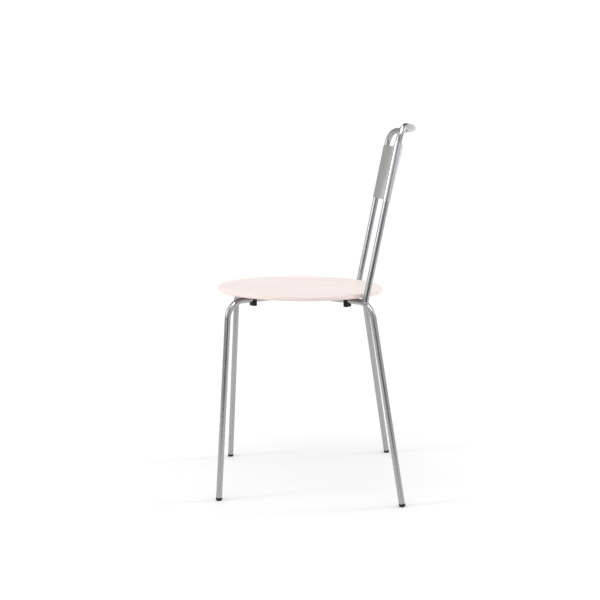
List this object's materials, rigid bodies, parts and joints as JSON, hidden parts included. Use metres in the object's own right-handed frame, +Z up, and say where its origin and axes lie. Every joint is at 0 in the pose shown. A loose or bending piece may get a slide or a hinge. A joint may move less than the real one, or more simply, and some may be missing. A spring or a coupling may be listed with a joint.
{
  "type": "stacking chair",
  "caption": "Stacking chair with a round dished seat on splayed bent-tube legs, and a leaning tube back hoop with a curved sheet back panel rolled round its uprights.",
  "frame": {"origin": "on the floor, in the middle of the chair's outline seen from above", "axes": "+Z up; the chair faces -Y, so +Y is the back; +X is the sitter's left and -X the sitter's right"},
  "size_m": [0.3962, 0.4492, 0.8267],
  "materials": {
    "seat": "satin, pale stained moulded plywood",
    "tube": "satin silver",
    "panel": "satin silver",
    "weld": "satin silver over the weld bead",
    "cap": "moulded, fine texture",
    "bumper": "moulded, fine texture",
    "fastener": "zinc plated",
    "insert": "machined"
  },
  "bodies": {
    "root": {"seat": "seat", "hub_plate": "tube", "back_hoop": "tube", "back_panel": "panel", "hoop_weld_left": "weld", "hoop_weld_right": "weld", "leg_front_left": "tube", "foot_cap_front_left": "cap", "stacking_bumper_front_left": "bumper", "seat_screw_front_left": "fastener", "saddle_washer_front_left": "fastener", "seat_insert_front_left": "insert", "leg_front_right": "tube", "foot_cap_front_right": "cap", "stacking_bumper_front_right": "bumper", "seat_screw_front_right": "fastener", "saddle_washer_front_right": "fastener", "seat_insert_front_right": "insert", "leg_rear_left": "tube", "foot_cap_rear_left": "cap", "stacking_bumper_rear_left": "bumper", "seat_screw_rear_left": "fastener", "saddle_washer_rear_left": "fastener", "seat_insert_rear_left": "insert", "leg_rear_right": "tube", "foot_cap_rear_right": "cap", "stacking_bumper_rear_right": "bumper", "seat_screw_rear_right": "fastener", "saddle_washer_rear_right": "fastener", "seat_insert_rear_right": "insert"}
  },
  "joints": []
}
